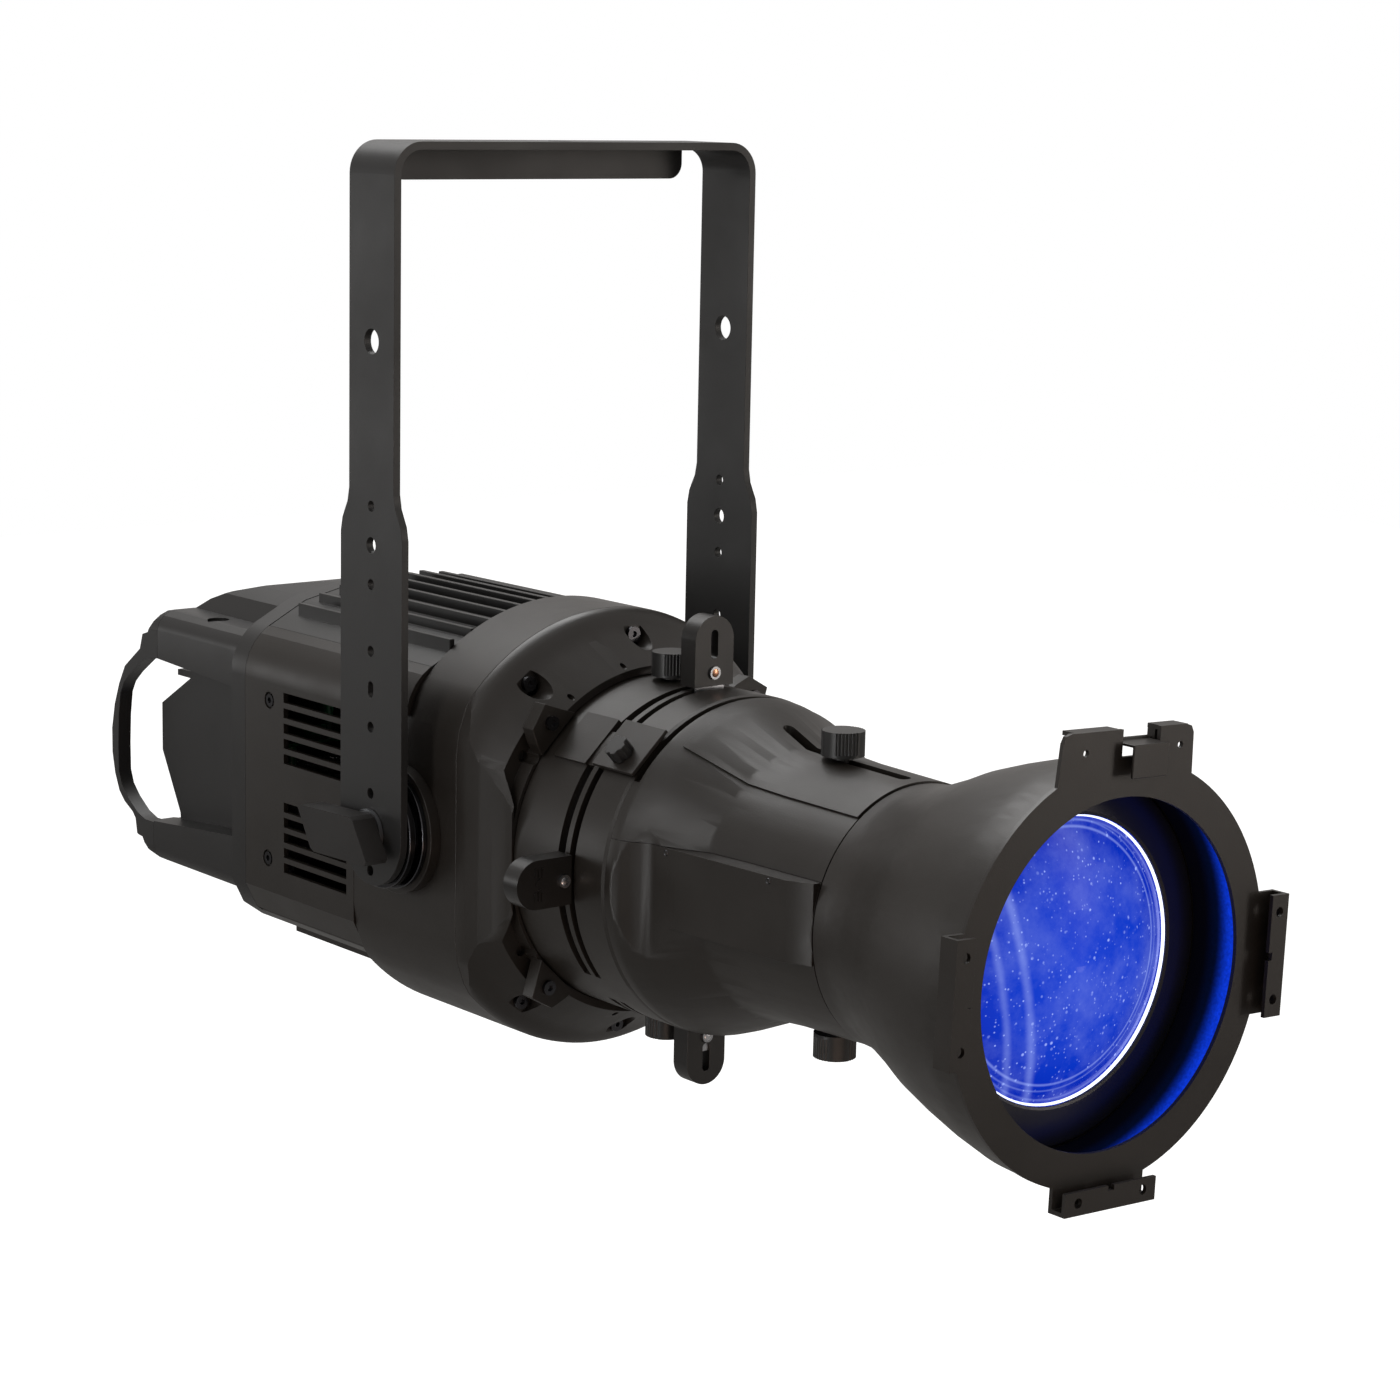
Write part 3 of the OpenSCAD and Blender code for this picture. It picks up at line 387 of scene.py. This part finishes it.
def soften(node, width, segments):
    """The same part with its flat faces whole and its edges rounded."""
    bm = bmesh.new()
    bm.from_mesh(frame["nodes"][node].data)
    bmesh.ops.remove_doubles(bm, verts=bm.verts, dist=MERGE_DISTANCE)
    bmesh.ops.dissolve_limit(bm, angle_limit=FLAT_ANGLE, verts=bm.verts, edges=bm.edges)
    obj = add_object(node + "_finished", bm, MATS[SLOT_OF[node]])
    round_edges(obj, width, segments)
    return keep(obj, BODY_OF[node], SLOT_OF[node], node)


# %% [markdown]
# Thick mouldings get wide rounds, and thin sheet gets narrow ones. Each entry is a width in metres and the
# number of steps round the edge.

# %% Finish the parts
SOFT = {
    "yoke_frame": (0.0007, 2), "front_shell": (0.0008, 2), "drum_housing": (0.0008, 2),
    "side_cover_left": (0.0005, 2), "side_cover_right": (0.0005, 2), "cooling_fins": (0.0004, 2),
    "bottom_tray": (0.0005, 2), "base_plate": (0.0006, 2), "rear_cap": (0.0012, 2),
    "grab_handle_left": (0.0032, 3), "grab_handle_right": (0.0032, 3), "control_panel": (0.0004, 1),
    "pivot_blocks": (0.0008, 2), "friction_discs": (0.0004, 2), "barrel_clamps": (0.0007, 2),
    "housing_screws": (0.0003, 2), "tilt_lever_left": (0.0016, 3), "tilt_lever_right": (0.0016, 3),
    "gate_barrel": (0.0005, 2), "slot_cover": (0.0004, 2), "slot_cover_knob": (0.0005, 2),
    "gate_knob_top": (0.0004, 1), "gate_knob_bottom": (0.0004, 1),
    "focus_knob_top": (0.0004, 1), "focus_knob_bottom": (0.0004, 1),
    "shutter_grip_top": (0.0012, 3), "shutter_grip_bottom": (0.0012, 3),
    "shutter_grip_left": (0.0012, 3), "shutter_grip_right": (0.0012, 3),
    "barrel_upper": (0.0006, 2), "barrel_lower": (0.0006, 2), "lens_tube": (0.0006, 2),
    "lens_ring": (0.0005, 2), "accessory_plate": (0.0005, 2), "retaining_clip": (0.0004, 2),
}
for node_name, (edge, steps) in SOFT.items():
    soften(node_name, edge, steps)
print(len(SOFT), "parts with rounded edges")

# %% [markdown]
# ## Turned rings
# A shell or ring about the optical axis is drawn as its cross-section and spun once round.

# %% A ring about the optical axis
def spun(name, section, body, slot_name, mat, steps=128):
    """A closed ring from a cross-section of (radius, y) corners in millimetres, spun about the axis."""
    bm = bmesh.new()
    corners = [bm.verts.new((0, y / 1000, AXIS_Z + r / 1000)) for r, y in section]
    rim = [bm.edges.new((corners[i - 1], corners[i])) for i in range(len(corners))]
    bmesh.ops.spin(bm, geom=corners + rim, cent=(0, 0, AXIS_Z), axis=(0, 1, 0), angle=math.tau,
                   steps=steps, use_merge=True)
    bmesh.ops.remove_doubles(bm, verts=bm.verts, dist=0.000001)
    return keep(add_object(name, bm, mat), body, slot_name)


# %% [markdown]
# ## Painted light in the hood
# The edge of the front lens is painted as a thin glowing white ring, and the lamp's light on the hood's
# inner wall is painted on as a blue glow between the black lens ring and the rim. Both are thin rings laid
# on the CAD surfaces.

# %% Spin the two rings
# both rings shine with painted light, not with light from the scene's lamps
edge_ring = spun("lens_edge_ring", [(64.2, -372.0), (64.5, -373.2), (64.9, -373.4), (65.1, -373.0),
                                    (65.0, -372.2), (64.6, -371.6)],
                 "lens", SLOT_OF["front_lens"], MATS["lens_edge"])
lit_wall = spun("hood_lit_wall", [(86.7, -371), (88.7, -379), (90.0, -386), (91.6, -401.6), (91.3, -401.8),
                                  (89.6, -386), (88.3, -379), (86.3, -371)],
                "lens", SLOT_OF["lens_tube"], MATS["lit_wall"])
print(len(edge_ring.data.polygons) + len(lit_wall.data.polygons), "faces in the rings")

# %% [markdown]
# ## Screws on the barrel's seam
# Small button-head screws close the two halves of the barrel along each side. Each head is a short
# tapered cylinder with a bevelled rim and a round socket pressed into it.

# %% Seam screws
def button_screw(name, place, side, radius, body, slot_name):
    """A button head facing out along X on the given side."""
    bm = bmesh.new()
    bmesh.ops.create_cone(bm, cap_ends=True, segments=32, radius1=radius, radius2=radius * 0.72,
                          depth=radius * 0.8)
    top = max(bm.faces, key=lambda f: f.calc_center_median().z)
    bmesh.ops.inset_individual(bm, faces=[top], thickness=radius * 0.30)
    bmesh.ops.translate(bm, vec=(0, 0, -radius * 0.4), verts=top.verts)
    rims = [e for e in bm.edges if len(e.link_faces) == 2 and e.calc_face_angle() > 0.5]
    bmesh.ops.bevel(bm, geom=rims, offset=radius * 0.08, offset_type="OFFSET", segments=2, profile=0.5,
                    affect="EDGES", material=-1)
    bmesh.ops.rotate(bm, cent=(0, 0, 0), matrix=Matrix.Rotation(side * math.pi / 2, 3, "Y"), verts=bm.verts)
    bmesh.ops.translate(bm, vec=place, verts=bm.verts)
    return keep(add_object(name, bm, MATS["screw"]), body, slot_name)


SEAM_RISE = 0.0215              # height of the seam screws over the optical axis
SEAM_SCREW_RADIUS = 0.0017
for side, word in ((-1, "left"), (1, "right")):
    for row, (x, y) in enumerate(((0.0708, -0.184), (0.0678, -0.254))):
        button_screw(f"seam_screw_{word}_{row + 1}", (side * x, y, AXIS_Z + SEAM_RISE), side,
                     SEAM_SCREW_RADIUS, "gate", SLOT_OF["housing_screws"])
print("4 seam screws")

# %% [markdown]
# ## Rivets
# A domed rivet holds each grip on its blade. The dome is a cut-off sphere laid on the grip's face. The top
# one is copper, and the others are bright steel.

# %% Rivets on the grips
RIVET_RADIUS = 0.0031
GRIP_FACE_Y = -0.1307           # the front face of the grips


def domed_rivet(name, angle, radius, body, mat):
    """angle is measured about the optical axis from the top, and radius is the distance from it."""
    bm = bmesh.new()
    bmesh.ops.create_uvsphere(bm, u_segments=24, v_segments=12, radius=RIVET_RADIUS)
    bmesh.ops.bisect_plane(bm, geom=bm.verts[:] + bm.edges[:] + bm.faces[:], plane_co=(0, 0, 0),
                           plane_no=(0, 1, 0), clear_outer=True)
    bmesh.ops.holes_fill(bm, edges=[e for e in bm.edges if e.is_boundary])
    bmesh.ops.scale(bm, vec=(1, 0.45, 1), verts=bm.verts)
    place = Matrix.Translation((radius * math.sin(angle), GRIP_FACE_Y, AXIS_Z + radius * math.cos(angle)))
    bmesh.ops.transform(bm, matrix=place, verts=bm.verts)
    return keep(add_object(name, bm, mat), body, SLOT_OF[body])


for side, angle, radius in (("top", 0, 0.092), ("bottom", math.pi, 0.091), ("left", -math.pi / 2, 0.090),
                            ("right", math.pi / 2, 0.090)):
    domed_rivet("rivet_" + side, angle, radius, "shutter_" + side,
                MATS["copper_rivet" if side == "top" else "rivet"])
print("4 rivets")

# %% [markdown]
# ## Camera
# The lens and place give a three-quarter view from the lamp's left front, a little above it. The camera's
# axes are worked out from how far it is turned, tilted and rolled.

# %% Place the camera
turn, tilt, roll = math.radians(-39.3876), math.radians(10.3969), math.radians(1.1565)
back = Vector((math.sin(turn) * math.cos(tilt), -math.cos(turn) * math.cos(tilt), math.sin(tilt)))
right = Vector((math.cos(turn), math.sin(turn), 0))
up = right.cross(-back)
cam_x = right * math.cos(roll) + up * math.sin(roll)
cam_y = up * math.cos(roll) - right * math.sin(roll)
cam_data = bpy.data.cameras.new("left_front_camera")
cam_data.lens = 87.43
cam_data.sensor_width = 36.0
cam_data.clip_end = 50.0
cam = bpy.data.objects.new("left_front_camera", cam_data)
bpy.context.scene.collection.objects.link(cam)
cam.matrix_world = Matrix((
    (cam_x.x, cam_y.x, back.x, -1.03982),
    (cam_x.y, cam_y.y, back.y, -1.38656),
    (cam_x.z, cam_y.z, back.z, 0.03353),
    (0, 0, 0, 1)))
bpy.context.scene.camera = cam
print("camera at", [round(v, 3) for v in cam.matrix_world.translation], "lens", cam_data.lens, "mm")

# %% [markdown]
# ## Studio
# Black paint shows mostly what it reflects, so each soft light is put where one set of faces mirrors it to
# the camera: a large one overhead, a key and a strip on the left, a weak one behind on the left for the
# yoke's outer faces, a strip on the right, and a low warm bounce.

# %% Soft lights
def softbox(name, place, aim, size, power, colour="ffffff"):
    """A rectangular light in watts that looks at aim."""
    data = bpy.data.lights.new(name, "AREA")
    data.shape = "RECTANGLE"
    data.size, data.size_y = size
    data.energy = power
    data.color = rgb(colour)[:3]
    obj = bpy.data.objects.new(name, data)
    bpy.context.scene.collection.objects.link(obj)
    obj.location = place
    obj.rotation_euler = (Vector(aim) - Vector(place)).to_track_quat("-Z", "Y").to_euler()


centre = (0, -0.05, -0.32)
softbox("top_softbox", (0.2, 1.0, 1.5), centre, (1.7, 1.1), 33)
softbox("rear_left_strip", (-1.3, 1.8, -0.25), centre, (0.5, 0.4), 2.0)
softbox("side_strip", (-2.16, -0.18, -0.74), centre, (0.25, 0.4), 6)
softbox("key_softbox", (-1.9, -0.1, 0.8), centre, (0.5, 0.9), 8)
softbox("right_strip", (1.5, -1.9, 0.0), centre, (0.4, 1.2), 9, "fff4ea")
softbox("low_bounce", (-0.5, -1.3, -1.0), centre, (1.2, 0.4), 3.5, "ffd8c0")
print("6 soft lights")

# %% [markdown]
# The surround is white where the camera sees it. To the lamp it is a dim grey that gets a little brighter
# towards the top, so that black paint stays black.

# %% Surround
world = bpy.data.worlds.new("white_surround")
world.use_nodes = True
sky = world.node_tree
white = sky.nodes["Background"]
white.inputs["Color"].default_value = (1, 1, 1, 1)
white.inputs["Strength"].default_value = 1.0
height = sky.nodes.new("ShaderNodeSeparateXYZ")
sky.links.new(sky.nodes.new("ShaderNodeTexCoord").outputs["Generated"], height.inputs[0])
fade = sky.nodes.new("ShaderNodeMapRange")
for socket, value in zip(("From Min", "From Max", "To Min", "To Max"), (-0.7, 0.9, 0.36, 0.58)):
    fade.inputs[socket].default_value = value
sky.links.new(height.outputs["Z"], fade.inputs["Value"])
dim = sky.nodes.new("ShaderNodeBackground")
dim.inputs["Color"].default_value = rgb("fffaf6")
sky.links.new(fade.outputs["Result"], dim.inputs["Strength"])
who = sky.nodes.new("ShaderNodeLightPath")
blend = sky.nodes.new("ShaderNodeMixShader")
sky.links.new(who.outputs["Is Camera Ray"], blend.inputs["Fac"])
sky.links.new(dim.outputs["Background"], blend.inputs[1])
sky.links.new(white.outputs["Background"], blend.inputs[2])
sky.links.new(blend.outputs["Shader"], sky.nodes["World Output"].inputs["Surface"])
bpy.context.scene.world = world
bpy.context.scene.view_settings.view_transform = "Standard"
print("surround", world.name)

# %% [markdown]
# The floor lies well below the lamp, so no shadow shows near it. It is pale paper that looks white to
# the camera and reflects as a mid grey.

# %% Floor
FLOOR_Z = -1.1
floor_bm = bmesh.new()
bmesh.ops.create_grid(floor_bm, x_segments=1, y_segments=1, size=6.0)
for v in floor_bm.verts:
    v.co.z = FLOOR_Z
floor_mat, floor_bsdf = new_material("pale_seamless_paper", "8c8c8b", 0.8)
seen = add(floor_mat, "ShaderNodeLightPath")
floor_bsdf.inputs["Emission Color"].default_value = (1, 1, 1, 1)
floor_mat.node_tree.links.new(seen.outputs["Is Camera Ray"], floor_bsdf.inputs["Emission Strength"])
floor = add_object("studio_floor", floor_bm, floor_mat)
print("floor at", FLOOR_Z, "m")
